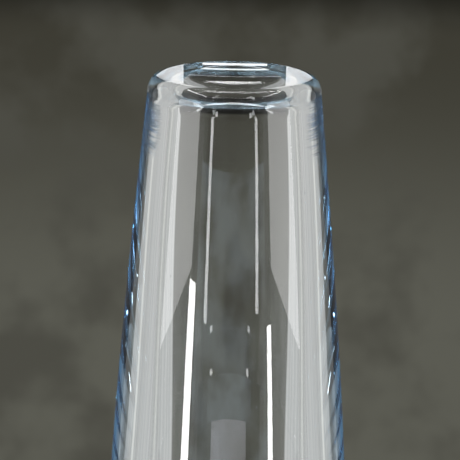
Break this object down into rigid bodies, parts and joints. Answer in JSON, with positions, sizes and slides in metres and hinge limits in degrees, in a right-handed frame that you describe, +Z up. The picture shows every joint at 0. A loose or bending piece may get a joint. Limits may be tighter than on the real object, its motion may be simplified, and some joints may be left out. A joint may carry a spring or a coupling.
{
  "type": "vase",
  "caption": "Heavy clear glass vase with a faint ice-blue tint: a thick-walled cone on a solid flat base, widening to an open mouth with a rounded lip.",
  "frame": {"origin": "centre of the base, at the height of its resting face", "axes": "+Z up the vase's own axis, from the base to the mouth; X and Y are level and alike, since the vase is round"},
  "size_m": [0.1419, 0.142, 0.28],
  "materials": {
    "clear_glass": "fire-polished blown glass with a ground and polished base"
  },
  "bodies": {
    "root": {"vase_body": "clear_glass"}
  },
  "joints": []
}
